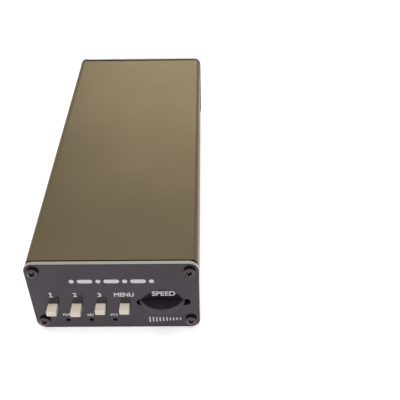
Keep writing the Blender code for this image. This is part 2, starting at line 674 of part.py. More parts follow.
def make_jack(side, frame, materials):
    place = (JACK_X[side], JACK_Z, 0.0)
    back = INSIDE_FACE - JACK_DEPTH
    body = block((JACK_WIDTH, JACK_HEIGHT, JACK_DEPTH), (0.0, 0.0, (INSIDE_FACE + back) / 2), JACK_EDGE_BREAK)
    housing = make_piece(side + "_jack_housing", body, materials["black_plastic"], frame, place)
    nose = extruded(circle(JACK_NOSE_DIAMETER / 2, RIM_STEPS), INSIDE_FACE - SEAT_GAP, JACK_NOSE_PROUD)
    fuse(housing, side + "_jack_nose", nose)
    radius = JACK_BORE_DIAMETER / 2
    floor = back + JACK_BACK_WALL
    lip = radius + JACK_MOUTH_FLARE + CUT_OVERRUN
    bore = [(0.0, floor), (radius, floor), (radius, JACK_NOSE_PROUD - JACK_MOUTH_FLARE),
            (lip, JACK_NOSE_PROUD + CUT_OVERRUN), (0.0, JACK_NOSE_PROUD + CUT_OVERRUN)]
    cut(housing, side + "_jack_bore", turned(bore, BORE_STEPS))
    for contact, (angle, share) in CONTACT_PLACE_SHARES.items():
        name = f"{side}_jack_{contact}_contact"
        seat = (place[0], place[1], INSIDE_FACE - share * JACK_DEPTH)
        turn = (0.0, 0.0, math.radians(angle))
        leaf = contact_leaf(-CONTACT_LENGTH / 2, CONTACT_LENGTH / 2)
        make_piece(name, leaf, materials["brass"], frame, seat, turn)
        window_size = (JACK_WIDTH, CONTACT_WIDTH + 2 * SEAT_GAP, CONTACT_LENGTH + 2 * SEAT_GAP)
        window = moved(spun(block(window_size, (JACK_WIDTH / 2, 0.0, 0.0)), turn[2]), (0.0, 0.0, seat[2]))
        cut(housing, name + "_window", window)


# Reset switch

def make_reset(frame, materials):
    place = (RESET_X, RESET_Z)
    front = switch_front(INSIDE_FACE - SEAT_GAP, BUTTON_TRAVEL)
    radius = RESET_STEM_DIAMETER / 2
    collar_front = front - SWITCH_COVER - SEAT_GAP
    collar_back = collar_front - STEM_FLANGE_THICKNESS
    wide = radius + RESET_FLANGE
    profile = [(0.0, collar_back), (wide, collar_back), (wide, collar_front), (radius, collar_front),
               (radius, INSIDE_FACE), (0.0, INSIDE_FACE)]
    make_piece("reset_plunger", turned(profile, SMALL_STEPS), materials["cream_cap"], frame, (*place, 0.0))
    switch_housing("reset_switch", frame, place, (RESET_WIDTH, RESET_HEIGHT), RESET_BACK,
                   RESET_STEM_DIAMETER, RESET_FLANGE, front, BUTTON_TRAVEL, materials)


# USB-C socket

def make_usb(frame, materials):
    place = (USB_X, USB_Z, 0.0)
    back = USB_PROUD - USB_LENGTH
    shell = make_piece("usb_c_shell", extruded(slot_outline(USB_WIDTH, USB_HEIGHT), back, USB_PROUD),
                       materials["bright_steel"], frame, place)
    foot_top = -USB_HEIGHT / 2 + USB_WALL
    foot_bottom = -USB_HEIGHT / 2 - USB_STANDOFF + SEAT_GAP
    foot_x = (USB_WIDTH - USB_HEIGHT) / 2
    for count, share in enumerate(USB_FOOT_PLACE_SHARES):
        for side in (-1, 1):
            foot = block((USB_FOOT_WIDTH, foot_top - foot_bottom, USB_FOOT_WIDTH),
                         (side * foot_x, (foot_top + foot_bottom) / 2, USB_PROUD - share * USB_LENGTH))
            fuse(shell, f"usb_c_foot_{count}_{side}", foot)
    inner_width = USB_WIDTH - 2 * USB_WALL
    inner_height = USB_HEIGHT - 2 * USB_WALL
    cut(shell, "usb_c_mouth", extruded(slot_outline(inner_width, inner_height), back - CUT_OVERRUN,
                                       USB_PROUD + CUT_OVERRUN))
    block_outline = slot_outline(inner_width - 2 * TONGUE_GAP, inner_height - 2 * TONGUE_GAP)
    tongue = make_piece("usb_c_tongue", extruded(block_outline, back, back + TONGUE_BLOCK_LENGTH),
                        materials["black_plastic"], frame, place)
    blade_end = USB_PROUD - TONGUE_SETBACK
    blade_start = back + TONGUE_BLOCK_LENGTH / 2
    blade = block((TONGUE_WIDTH, TONGUE_THICKNESS, blade_end - blade_start),
                  (0.0, 0.0, (blade_end + blade_start) / 2))
    fuse(tongue, "usb_c_blade", blade)


# Board and its components

def board_place(shares):
    return (shares[0] * BOARD_WIDTH / 2, shares[1] * BOARD_LENGTH / 2)


def make_board(materials):
    size = (BOARD_WIDTH, BOARD_LENGTH, BOARD_THICKNESS)
    middle = BOARD_BOTTOM + BOARD_THICKNESS / 2
    board = make_piece("main_board", block(size, (0.0, 0.0, middle)), materials["circuit_board"])
    reset_front = switch_front(INSIDE_FACE - SEAT_GAP, BUTTON_TRAVEL)
    reset_back = switch_back(reset_front, RESET_BACK, BUTTON_TRAVEL)
    notch_start = OVERALL_LENGTH / 2 + reset_back - SEAT_GAP
    notch_end = BOARD_LENGTH / 2 + CUT_OVERRUN
    notch_size = (RESET_WIDTH + 2 * SEAT_GAP, notch_end - notch_start, BOARD_THICKNESS + 2 * CUT_OVERRUN)
    cut(board, "reset_notch", block(notch_size, (-RESET_X, (notch_start + notch_end) / 2, middle)))


def make_components(materials):
    for name, size in CHIP_SIZES.items():
        x, y = board_place(CHIP_PLACE_SHARES[name])
        finish = "bright_steel" if name == "crystal" else "chip_black"
        edge = CHIP_EDGE_BREAK
        make_piece(name, block(size, (0.0, 0.0, size[2] / 2), edge), materials[finish],
                   location=(x, y, PARTS_FLOOR))
    x, y = board_place(SOUNDER_PLACE_SHARES)
    radius = SOUNDER_DIAMETER / 2
    hole = SOUNDER_HOLE_DIAMETER / 2
    shoulder = SOUNDER_HEIGHT - SOUNDER_EDGE_BREAK
    hole_floor = SOUNDER_HEIGHT - SOUNDER_HOLE_DEPTH
    profile = [(0.0, 0.0), (radius, 0.0), (radius, shoulder), (radius - SOUNDER_EDGE_BREAK, SOUNDER_HEIGHT),
               (hole, SOUNDER_HEIGHT), (hole, hole_floor), (0.0, hole_floor)]
    make_piece("sidetone_sounder", turned(profile, BORE_STEPS), materials["black_plastic"],
               location=(x, y, PARTS_FLOOR))
    radius = CAPACITOR_DIAMETER / 2
    below, neck, above = [share * CAPACITOR_HEIGHT for share in CAPACITOR_NECK_SHARES]
    for name, shares in CAPACITOR_PLACE_SHARES.items():
        x, y = board_place(shares)
        profile = [(0.0, 0.0), (radius, 0.0), (radius, below), (radius - CAPACITOR_NECK, neck),
                   (radius, above), (radius, CAPACITOR_HEIGHT), (0.0, CAPACITOR_HEIGHT)]
        make_piece(name, turned(profile, BORE_STEPS), materials["capacitor_can"],
                   location=(x, y, PARTS_FLOOR))


def front_openings():
    start = BACK_OF_PANEL - CUT_OVERRUN
    wheel_middle = WHEEL_BOTTOM + WHEEL_THICKNESS / 2
    slot = extruded(slot_outline(WHEEL_SLOT_WIDTH, WHEEL_SLOT_HEIGHT, (WHEEL_SLOT_X, wheel_middle)), start,
                    CUT_OVERRUN)
    return button_windows() + [round_hole(LAMP_HOLE_DIAMETER, place) for place in lamp_places()] + [slot]


def rear_openings():
    start = BACK_OF_PANEL - CUT_OVERRUN
    jacks = [round_hole(JACK_NOSE_DIAMETER + 2 * SEAT_GAP, (x, JACK_Z)) for x in JACK_X.values()]
    usb = extruded(slot_outline(USB_WIDTH + 2 * SEAT_GAP, USB_HEIGHT + 2 * SEAT_GAP, (USB_X, USB_Z)), start,
                   CUT_OVERRUN)
    return jacks + [round_hole(RESET_HOLE_DIAMETER, (RESET_X, RESET_Z)), usb]


def main():
    clear_scene()
    materials = make_materials()
    # Each panel's frame has X to the right and Y up as the panel is looked at, and Z out of its face.
    front = make_frame("front_frame", (0.0, -OVERALL_LENGTH / 2, 0.0), (QUARTER_TURN, 0.0, 0.0))
    rear = make_frame("rear_frame", (0.0, OVERALL_LENGTH / 2, 0.0), (QUARTER_TURN, 0.0, HALF_TURN))
    make_case(materials)
    make_board(materials)
    make_panel("front_panel", front, front_openings(), materials)
    make_panel("rear_panel", rear, rear_openings(), materials)
    make_screws("front_panel_screw", front, FRONT_SCREW_TURNS, materials)
    make_screws("rear_panel_screw", rear, REAR_SCREW_TURNS, materials)
    make_buttons(front, materials)
    make_lamps(front, materials)
    make_wheel(materials)
    make_potentiometer(materials)
    make_axle_screw(materials)
    for side in JACK_X:
        make_jack(side, rear, materials)
    make_reset(rear, materials)
    make_usb(rear, materials)
    make_components(materials)


main()
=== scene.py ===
# Morse code keyer: surface finishes, printed legends, floor, lights and camera.
# Lengths in the dictionaries are millimetres, colours are sRGB from 0 to 255, and angles are degrees.
import json
import math

import bmesh
import bpy
from mathutils import Matrix, Vector


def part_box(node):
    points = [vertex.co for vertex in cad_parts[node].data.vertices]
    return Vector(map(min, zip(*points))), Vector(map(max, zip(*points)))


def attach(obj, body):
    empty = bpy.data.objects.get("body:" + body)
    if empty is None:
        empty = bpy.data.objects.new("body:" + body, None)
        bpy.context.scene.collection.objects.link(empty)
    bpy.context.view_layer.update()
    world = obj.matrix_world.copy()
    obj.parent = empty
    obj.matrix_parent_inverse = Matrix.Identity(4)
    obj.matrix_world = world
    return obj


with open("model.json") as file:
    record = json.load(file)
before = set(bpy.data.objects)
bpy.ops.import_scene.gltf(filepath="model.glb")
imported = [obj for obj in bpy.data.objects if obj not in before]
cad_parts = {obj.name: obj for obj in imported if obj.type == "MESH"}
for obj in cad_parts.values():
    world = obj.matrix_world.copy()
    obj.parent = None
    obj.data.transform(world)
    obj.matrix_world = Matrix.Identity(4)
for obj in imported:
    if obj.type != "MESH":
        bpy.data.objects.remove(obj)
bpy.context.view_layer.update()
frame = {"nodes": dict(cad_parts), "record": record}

mm = 0.001
nodes = frame["nodes"]
subparts = frame["record"]["subparts"]
print("frame loaded:", len(nodes), "nodes")


def linear(colour):
    # sRGB from 0 to 255, to the linear values that a shader socket takes
    shares = [part / 255 for part in colour]
    values = [share / 12.92 if share <= 0.04045 else ((share + 0.055) / 1.055) ** 2.4 for share in shares]
    return (*values, 1.0)


# Shader helpers

def addNode(tree, kind, values=None, **settings):
    node = tree.nodes.new(kind)
    for name, value in settings.items():
        setattr(node, name, value)
    for name, value in (values or {}).items():
        if isinstance(value, bpy.types.NodeSocket):
            tree.links.new(value, node.inputs[name])
        else:
            node.inputs[name].default_value = value
    return node


def calculate(tree, operation, first, second=0.0, clamp=False):
    values = {0: first, 1: second}
    return addNode(tree, "ShaderNodeMath", values, operation=operation, use_clamp=clamp).outputs[0]


def vectorCalculate(tree, operation, first, second=(0.0, 0.0, 0.0), result="Vector"):
    values = {0: first, 1: second}
    return addNode(tree, "ShaderNodeVectorMath", values, operation=operation).outputs[result]


def remap(tree, value, low, high, outLow=0.0, outHigh=1.0):
    values = {"Value": value, "From Min": low, "From Max": high, "To Min": outLow, "To Max": outHigh}
    return addNode(tree, "ShaderNodeMapRange", values, clamp=True).outputs["Result"]


def fadeIn(tree, value, middle, halfWidth):
    # 0 below the middle and 1 above it, with a soft step between
    return remap(tree, value, middle - halfWidth, middle + halfWidth)


def shortfall(tree, value, gain):
    # how far a value falls short of 1, times the gain, and 1 at most
    return calculate(tree, "MULTIPLY", calculate(tree, "SUBTRACT", 1.0, value), gain, clamp=True)


def mixColours(tree, share, first, second):
    return addNode(tree, "ShaderNodeMix", {0: share, 6: first, 7: second}, data_type="RGBA").outputs[2]


def mixNumbers(tree, share, first, second):
    return addNode(tree, "ShaderNodeMix", {0: share, 2: first, 3: second}, data_type="FLOAT").outputs[0]


def noise(tree, place, featureSize, stretch=(1.0, 1.0, 1.0), detail=3.0, roughness=0.5):
    # featureSize is about the width of one blotch; a stretch under 1 draws it out along that axis
    mapped = addNode(tree, "ShaderNodeMapping", {"Vector": place, "Scale": stretch}).outputs["Vector"]
    values = {"Vector": mapped, "Scale": 1 / (featureSize * mm), "Detail": detail, "Roughness": roughness}
    return addNode(tree, "ShaderNodeTexNoise", values).outputs["Fac"]


def objectPlace(tree):
    return addNode(tree, "ShaderNodeTexCoord").outputs["Object"]


def splitPlace(tree, place):
    return addNode(tree, "ShaderNodeSeparateXYZ", {"Vector": place}).outputs


def distanceFromAxis(tree, place, axis):
    # level distance from an upright axis through a point given in metres
    offset = vectorCalculate(tree, "SUBTRACT", place, axis)
    level = vectorCalculate(tree, "MULTIPLY", offset, (1.0, 1.0, 0.0))
    return vectorCalculate(tree, "LENGTH", level, result="Value")


def startFinish(name, constants):
    # a new Principled material; what is the same all over is set on its own sockets, in their own units
    material = bpy.data.materials.new(name)
    material.use_nodes = True
    tree = material.node_tree
    shader = tree.nodes["Principled BSDF"]
    for socket, value in constants.items():
        shader.inputs[socket].default_value = value
    return material, tree, shader


def connect(tree, shader, sources):
    for socket, source in sources.items():
        tree.links.new(source, shader.inputs[socket])


def addRelief(tree, shader, look, height):
    values = {"Strength": look["relief"], "Distance": look["reliefDepth"] * mm, "Height": height}
    bump = addNode(tree, "ShaderNodeBump", values)
    connect(tree, shader, {"Normal": bump.outputs["Normal"]})


# How the finishes are layered. A span holds the noise values between which a pattern fades in.

layerLook = {
    "mottleDetail": 2.0, "mottleSpan": (0.35, 0.65),
    "grainDetail": 4.0, "grainRoughness": 0.6, "grainSpan": (0.3, 0.7),
    "patchDetail": 4.0, "patchSpan": (0.40, 0.62),
    "edgeSamples": 4, "creviceSamples": 8,
}


def wearAndHighlightMask(tree, place, look):
    # patches on outer and inner edges, where a rounded normal leaves the plain one; they are worn edges, and
    # on the jacks also a painted highlight
    values = {"Radius": look["wearAndHighlightWidth"] * mm}
    rounded = addNode(tree, "ShaderNodeBevel", values, samples=layerLook["edgeSamples"]).outputs["Normal"]
    plain = addNode(tree, "ShaderNodeNewGeometry").outputs["Normal"]
    likeness = vectorCalculate(tree, "DOT_PRODUCT", rounded, plain, "Value")
    edges = shortfall(tree, likeness, look["wearAndHighlightGain"])
    patchNoise = noise(tree, place, look["wearAndHighlightPatch"], detail=layerLook["patchDetail"])
    return calculate(tree, "MULTIPLY", edges, remap(tree, patchNoise, *layerLook["patchSpan"]))


def ribMask(tree, place, look):
    # thumb wear lightens the wheel's ribs from foot to tip
    low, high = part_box("speed_wheel")
    reach = distanceFromAxis(tree, place, (low + high) / 2)
    return remap(tree, reach, look["ribFoot"] * mm, look["ribTip"] * mm)


def seamShadeMask(tree, place, look):
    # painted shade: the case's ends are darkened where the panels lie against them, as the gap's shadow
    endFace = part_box("case_body")[1].y
    seamEnd = endFace - look["seamWidth"] * mm
    along = calculate(tree, "ABSOLUTE", splitPlace(tree, place)["Y"])
    return remap(tree, along, seamEnd - look["seamFade"] * mm, seamEnd)


def creviceShadeMask(tree, place, look):
    # painted shade: 1 deep in a piece's own grooves and bores, where shade falls, and 0 on its open faces
    values = {"Distance": look["creviceReach"] * mm}
    openness = addNode(tree, "ShaderNodeAmbientOcclusion", values, samples=layerLook["creviceSamples"],
                       only_local=True).outputs["AO"]
    return shortfall(tree, openness, look["creviceGain"])


toneLayers = {"wearAndHighlightTone": wearAndHighlightMask, "ribTone": ribMask, "seamShadeTone": seamShadeMask, "creviceShadeTone": creviceShadeMask}


def makeFinish(name, look):
    # two tones in soft mottling, fine grain in tone and roughness, the finish's own layers, a shallow relief
    material, tree, shader = startFinish(name, look["constants"])
    place = objectPlace(tree)
    mottleNoise = noise(tree, place, look["mottleSize"], detail=layerLook["mottleDetail"])
    mottle = remap(tree, mottleNoise, *layerLook["mottleSpan"])
    grain = noise(tree, place, look["grainSize"], look.get("stretch", (1.0, 1.0, 1.0)),
                  layerLook["grainDetail"], layerLook["grainRoughness"])
    grainShade = remap(tree, grain, *layerLook["grainSpan"], 0.0, look["grainShare"])
    colour = mixColours(tree, mottle, linear(look["tone"]), linear(look["secondTone"]))
    colour = mixColours(tree, grainShade, colour, linear(look["grainTone"]))
    for tone, makeMask in toneLayers.items():
        if tone in look:
            colour = mixColours(tree, makeMask(tree, place, look), colour, linear(look[tone]))
    rough = remap(tree, grain, *layerLook["grainSpan"], *look["roughness"])
    connect(tree, shader, {"Base Color": colour, "Roughness": rough})
    addRelief(tree, shader, look, grain)
    return material


# Plain finishes. A stretch draws the grain out along an axis, and roughness runs from its low to its high.

finishLooks = {
    "anodisedCase": {
        "tone": (105, 94, 73), "secondTone": (101, 90, 70), "mottleSize": 30.0,
        "grainTone": (92, 80, 60), "grainShare": 0.16, "grainSize": 0.22, "stretch": (1.0, 0.03, 1.0),
        "wearAndHighlightTone": (134, 123, 99), "wearAndHighlightPatch": 3.0, "wearAndHighlightWidth": 0.20, "wearAndHighlightGain": 2.0,
        # painted shade: the seam tone darkens the case's ends as the shadow in the gap to the panels
        "seamShadeTone": (30, 26, 20), "seamWidth": 0.18, "seamFade": 0.05,
        "roughness": (0.32, 0.38), "relief": 0.04, "reliefDepth": 0.015,
        "constants": {"Metallic": 1.0, "Specular Tint": (0.72, 0.70, 0.66, 1.0)},
    },
    "blackScrew": {
        "tone": (90, 81, 84), "secondTone": (80, 71, 74), "mottleSize": 1.2,
        "grainTone": (68, 60, 62), "grainShare": 0.4, "grainSize": 0.12,
        "wearAndHighlightTone": (186, 178, 174), "wearAndHighlightPatch": 0.8, "wearAndHighlightWidth": 0.08, "wearAndHighlightGain": 5.0,
        # painted shade: the crevice tone darkens the cross recess
        "creviceShadeTone": (14, 11, 12), "creviceReach": 0.7, "creviceGain": 2.6,
        "roughness": (0.20, 0.34), "relief": 0.2, "reliefDepth": 0.01,
        "constants": {"Metallic": 1.0},
    },
    "creamCap": {
        "tone": (232, 224, 207), "secondTone": (226, 217, 198), "mottleSize": 2.5,
        "grainTone": (208, 196, 174), "grainShare": 0.18, "grainSize": 0.10,
        "wearAndHighlightTone": (236, 229, 215), "wearAndHighlightPatch": 1.0, "wearAndHighlightWidth": 0.2, "wearAndHighlightGain": 2.0,
        "roughness": (0.36, 0.48), "relief": 0.15, "reliefDepth": 0.008,
        "constants": {"IOR": 1.5, "Subsurface Weight": 0.06, "Subsurface Radius": (0.001, 0.0008, 0.0006)},
    },
    "blackPlastic": {
        "tone": (33, 29, 31), "secondTone": (40, 36, 38), "mottleSize": 3.0,
        "grainTone": (24, 22, 23), "grainShare": 0.4, "grainSize": 0.08,
        "wearAndHighlightTone": (74, 70, 72), "wearAndHighlightPatch": 0.9, "wearAndHighlightWidth": 0.1, "wearAndHighlightGain": 2.5,
        "roughness": (0.36, 0.50), "relief": 0.25, "reliefDepth": 0.01,
        "constants": {"IOR": 1.5},
    },
    "brightSteel": {
        "tone": (198, 198, 195), "secondTone": (186, 185, 181), "mottleSize": 4.0,
        "grainTone": (160, 158, 153), "grainShare": 0.3, "grainSize": 0.08, "stretch": (1.0, 0.35, 1.0),
        "wearAndHighlightTone": (222, 221, 217), "wearAndHighlightPatch": 1.0, "wearAndHighlightWidth": 0.1, "wearAndHighlightGain": 2.0,
        "roughness": (0.20, 0.34), "relief": 0.15, "reliefDepth": 0.008,
        "constants": {"Metallic": 1.0},
    },
    "springBrass": {
        "tone": (202, 166, 98), "secondTone": (188, 150, 84), "mottleSize": 1.5,
        "grainTone": (160, 122, 64), "grainShare": 0.35, "grainSize": 0.06, "stretch": (1.0, 0.1, 1.0),
        "roughness": (0.22, 0.36), "relief": 0.15, "reliefDepth": 0.006,
        "constants": {"Metallic": 1.0},
    },
    "chipBlack": {
        "tone": (26, 26, 28), "secondTone": (34, 33, 34), "mottleSize": 2.0,
        "grainTone": (48, 48, 48), "grainShare": 0.3, "grainSize": 0.06,
        "roughness": (0.48, 0.64), "relief": 0.3, "reliefDepth": 0.01,
        "constants": {"IOR": 1.5},
    },
    "capacitorCan": {
        "tone": (188, 188, 188), "secondTone": (174, 174, 173), "mottleSize": 3.0,
        "grainTone": (150, 150, 150), "grainShare": 0.35, "grainSize": 0.08, "stretch": (1.0, 1.0, 0.05),
        "roughness": (0.28, 0.42), "relief": 0.15, "reliefDepth": 0.008,
        "constants": {"Metallic": 1.0},
    },
    "clearLamp": {
        "tone": (196, 200, 196), "secondTone": (186, 190, 187), "mottleSize": 1.5,
        "grainTone": (214, 216, 212), "grainShare": 0.2, "grainSize": 0.08,
        "roughness": (0.06, 0.14), "relief": 0.05, "reliefDepth": 0.005,
        "constants": {"IOR": 1.53, "Transmission Weight": 0.85},
    },
    "jackPlastic": {
        "tone": (58, 53, 56), "secondTone": (66, 61, 63), "mottleSize": 3.0,
        "grainTone": (44, 40, 42), "grainShare": 0.4, "grainSize": 0.08,
        # painted highlight: the light edge tone stands for light caught on the nose's rim
        "wearAndHighlightTone": (138, 134, 137), "wearAndHighlightPatch": 0.7, "wearAndHighlightWidth": 0.18, "wearAndHighlightGain": 4.0,
        # painted shade: the crevice tone blackens the bore
        "creviceShadeTone": (12, 9, 11), "creviceReach": 3.0, "creviceGain": 1.7,
        "roughness": (0.34, 0.46), "relief": 0.25, "reliefDepth": 0.01,
        "constants": {"IOR": 1.5},
    },
    "wheelPlastic": {
        "tone": (33, 27, 32), "secondTone": (37, 31, 36), "mottleSize": 3.0,
        "grainTone": (18, 15, 17), "grainShare": 0.4, "grainSize": 0.08,
        "wearAndHighlightTone": (96, 92, 98), "wearAndHighlightPatch": 0.5, "wearAndHighlightWidth": 0.07, "wearAndHighlightGain": 5.0,
        "ribTone": (86, 80, 88), "ribFoot": 7.0, "ribTip": 7.22,
        # painted shade: the crevice tone darkens the valleys between the ribs
        "creviceShadeTone": (8, 6, 8), "creviceReach": 0.35, "creviceGain": 1.8,
        "roughness": (0.42, 0.58), "relief": 0.25, "reliefDepth": 0.01,
        "constants": {"IOR": 1.5, "Specular IOR Level": 0.20},
    },
    "tonguePlastic": {
        "tone": (156, 140, 134), "secondTone": (142, 127, 121), "mottleSize": 1.5,
        "grainTone": (120, 106, 100), "grainShare": 0.3, "grainSize": 0.06,
        "roughness": (0.40, 0.55), "relief": 0.2, "reliefDepth": 0.008,
        "constants": {"IOR": 1.5},
    },
    "whiteInk": {
        "tone": (223, 219, 222), "secondTone": (213, 209, 212), "mottleSize": 0.9,
        "grainTone": (186, 181, 185), "grainShare": 0.25, "grainSize": 0.07,
        "roughness": (0.42, 0.60), "relief": 0.3, "reliefDepth": 0.006,
        "constants": {"IOR": 1.5},
    },
}


# The panels are coated on their faces and bare metal round their rims

panelLook = {
    "corner": 3.0, "rimWidth": 0.07, "rimFade": 0.02, "rimWaver": 0.012,
    # the back coat band is real coat and partly painted shade in the gap to the case
    "chipNoise": {"featureSize": 0.6, "detail": 4.0}, "backCoatAndShade": 0.32, "backFade": 0.03,
    "coatTone": (37, 29, 38), "coatSecondTone": (42, 34, 42), "coatNoise": {"featureSize": 8.0},
    "coatRoughness": (0.12, 0.19), "hazeNoise": {"featureSize": 1.2, "detail": 5.0},
    "metalTone": (160, 161, 152), "metalSecondTone": (152, 152, 143), "metalRoughness": (0.26, 0.40),
    "millNoise": {"featureSize": 0.25, "stretch": (0.08, 1.0, 0.08)},
    "relief": 0.05, "reliefDepth": 0.008,
    "constants": {"IOR": 1.47, "Specular Tint": (1.0, 0.90, 1.0, 1.0)},
}


def rimDistance(tree, place, look):
    # signed distance to the outline that both panels share: zero on the rim, and less inwards
    low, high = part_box("rear_panel")
    radius = look["corner"] * mm
    parts = splitPlace(tree, place)
    middleUp = calculate(tree, "SUBTRACT", parts["Z"], (low.z + high.z) / 2)
    across = calculate(tree, "ABSOLUTE", parts["X"])
    across = calculate(tree, "SUBTRACT", across, (high.x - low.x) / 2 - radius)
    up = calculate(tree, "ABSOLUTE", middleUp)
    up = calculate(tree, "SUBTRACT", up, (high.z - low.z) / 2 - radius)
    beyond = {"X": calculate(tree, "MAXIMUM", across, 0.0), "Y": calculate(tree, "MAXIMUM", up, 0.0)}
    corner = addNode(tree, "ShaderNodeCombineXYZ", beyond).outputs["Vector"]
    outside = vectorCalculate(tree, "LENGTH", corner, result="Value")
    inside = calculate(tree, "MINIMUM", calculate(tree, "MAXIMUM", across, up), 0.0)
    return calculate(tree, "SUBTRACT", calculate(tree, "ADD", outside, inside), radius)


def bareRim(tree, place, look):
    # 1 on the bare metal, whose border with the coat wavers a little
    waver = look["rimWaver"] * mm
    chips = remap(tree, noise(tree, place, **look["chipNoise"]), *layerLook["grainSpan"], -waver, waver)
    edge = calculate(tree, "ADD", rimDistance(tree, place, look), chips)
    rim = fadeIn(tree, edge, -look["rimWidth"] * mm, look["rimFade"] * mm)
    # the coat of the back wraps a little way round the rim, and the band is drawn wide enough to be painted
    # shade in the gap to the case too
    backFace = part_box("rear_panel")[0].y
    depth = calculate(tree, "ABSOLUTE", splitPlace(tree, place)["Y"])
    front = fadeIn(tree, depth, backFace + look["backCoatAndShade"] * mm, look["backFade"] * mm)
    return calculate(tree, "MULTIPLY", rim, front)


def makePanelFinish(name, look):
    material, tree, shader = startFinish(name, look["constants"])
    place = objectPlace(tree)
    bare = bareRim(tree, place, look)
    mottle = remap(tree, noise(tree, place, **look["coatNoise"]), *layerLook["mottleSpan"])
    coat = mixColours(tree, mottle, linear(look["coatTone"]), linear(look["coatSecondTone"]))
    haze = noise(tree, place, **look["hazeNoise"])
    coatRough = remap(tree, haze, *layerLook["grainSpan"], *look["coatRoughness"])
    mill = noise(tree, place, **look["millNoise"])
    metal = mixColours(tree, mill, linear(look["metalTone"]), linear(look["metalSecondTone"]))
    metalRough = remap(tree, mill, *layerLook["grainSpan"], *look["metalRoughness"])
    connect(tree, shader, {"Base Color": mixColours(tree, bare, coat, metal), "Metallic": bare,
                           "Roughness": mixNumbers(tree, bare, coatRough, metalRough)})
    addRelief(tree, shader, look, mill)
    return material


# The board: solder mask over tracks, with bare pads

boardLook = {
    "maskTone": (16, 74, 48), "trackTone": (28, 104, 66), "padTone": (196, 178, 122),
    "trackSize": 2.2, "trackFold": 0.12, "trackSpan": (0.04, 0.08),
    "padPitch": 2.54, "padRadius": 0.5,
    "padNoise": {"featureSize": 9.0, "detail": 1.0}, "padSpan": (0.56, 0.58),
    "maskNoise": {"featureSize": 0.5}, "roughness": (0.30, 0.42), "relief": 0.4, "reliefDepth": 0.03,
    "constants": {"IOR": 1.5},
}


def makeBoardFinish(name, look):
    material, tree, shader = startFinish(name, look["constants"])
    place = objectPlace(tree)
    # tracks are square rings round the centres of a cell pattern
    values = {"Vector": place, "Scale": 1 / (look["trackSize"] * mm)}
    cells = addNode(tree, "ShaderNodeTexVoronoi", values, feature="F1", distance="CHEBYCHEV")
    folded = calculate(tree, "PINGPONG", cells.outputs["Distance"], look["trackFold"])
    track = remap(tree, folded, *look["trackSpan"])
    # round pads stand on a square grid, in patches
    pitch = look["padPitch"] * mm
    cell = vectorCalculate(tree, "MODULO", place, (pitch,) * 3)
    reach = distanceFromAxis(tree, cell, (pitch / 2,) * 3)
    chosen = remap(tree, noise(tree, place, **look["padNoise"]), *look["padSpan"])
    pad = calculate(tree, "MULTIPLY", calculate(tree, "LESS_THAN", reach, look["padRadius"] * mm), chosen)
    colour = mixColours(tree, track, linear(look["maskTone"]), linear(look["trackTone"]))
    colour = mixColours(tree, pad, colour, linear(look["padTone"]))
    rough = remap(tree, noise(tree, place, **look["maskNoise"]), *layerLook["grainSpan"], *look["roughness"])
    connect(tree, shader, {"Base Color": colour, "Metallic": pad, "Roughness": rough})
    addRelief(tree, shader, look, track)
    return material


finishes = {name: makeFinish(name, look) for name, look in finishLooks.items()}
finishes["coatedPanel"] = makePanelFinish("coatedPanel", panelLook)
finishes["circuitBoard"] = makeBoardFinish("circuitBoard", boardLook)
print("finishes made:", len(finishes))


# Carried-over pieces keep their shape. Modifiers soften their edges, by the edge width of their slot.

finishOfSlot = {
    "anodised_case": ("anodisedCase", 0.10), "coated_panel": ("coatedPanel", 0.05),
    "black_screw": ("blackScrew", 0.05), "circuit_board": ("circuitBoard", 0.05),
    "cream_cap": ("creamCap", 0.12), "black_plastic": ("blackPlastic", 0.05),
    "clear_lamp": ("clearLamp", 0.04), "spring_brass": ("springBrass", 0.03),
    "bright_steel": ("brightSteel", 0.05), "chip_black": ("chipBlack", 0.05),
    "capacitor_can": ("capacitorCan", 0.08),
}
finishOfNode = {
    "usb_c_tongue": "tonguePlastic", "key_jack_housing": "jackPlastic", "tx_jack_housing": "jackPlastic",
    "speed_wheel": "wheelPlastic",
}
softenLook = {"weldGap": 0.001, "flatAngle": 0.5, "edgeAngle": 35.0, "edgeSteps": 2}


def softenPiece(piece, edgeWidth):
    mesh = piece.data
    mesh.attributes.remove(mesh.attributes["custom_normal"])    # shading only; no point moves
    for face in mesh.polygons:
        face.use_smooth = True
    weld = piece.modifiers.new("weld", "WELD")
    weld.merge_threshold = softenLook["weldGap"] * mm
    flats = piece.modifiers.new("flats", "DECIMATE")
    flats.decimate_type = "DISSOLVE"
    flats.angle_limit = math.radians(softenLook["flatAngle"])
    edges = piece.modifiers.new("edges", "BEVEL")
    edges.width = edgeWidth * mm
    edges.segments = softenLook["edgeSteps"]
    edges.limit_method = "ANGLE"
    edges.angle_limit = math.radians(softenLook["edgeAngle"])
    edges.harden_normals = True
    shading = piece.modifiers.new("shading", "WEIGHTED_NORMAL")
    shading.keep_sharp = True


for part in subparts:
    piece = nodes[part["node"]]
    finish, edgeWidth = finishOfSlot[part["material_slot"]]
    piece.data.materials.clear()
    piece.data.materials.append(finishes[finishOfNode.get(part["node"], finish)])
    softenPiece(piece, edgeWidth)
print("carried-over pieces finished:", len(subparts))


# Printed legends. Places are from a panel's lower left corner, as that panel is looked at.

inkLook = {"height": 0.03, "sink": 0.01}
letterLook = {
    "curveSteps": 6,
    "blockDepth": 0.5,       # any depth does, because it is scaled to the ink's
    "boldShare": 0.034,      # how far each wall moves out, as a share of the letters' height
    "shortestWall": 0.01,    # shorter walls in the font's outlines are merged
    "wallTilt": 0.5, "sameWall": 0.01,    # what counts as an upright wall, and as one wall twice
    "sharpest": 0.6,         # keeps the point of a sharp corner from running out too far
}

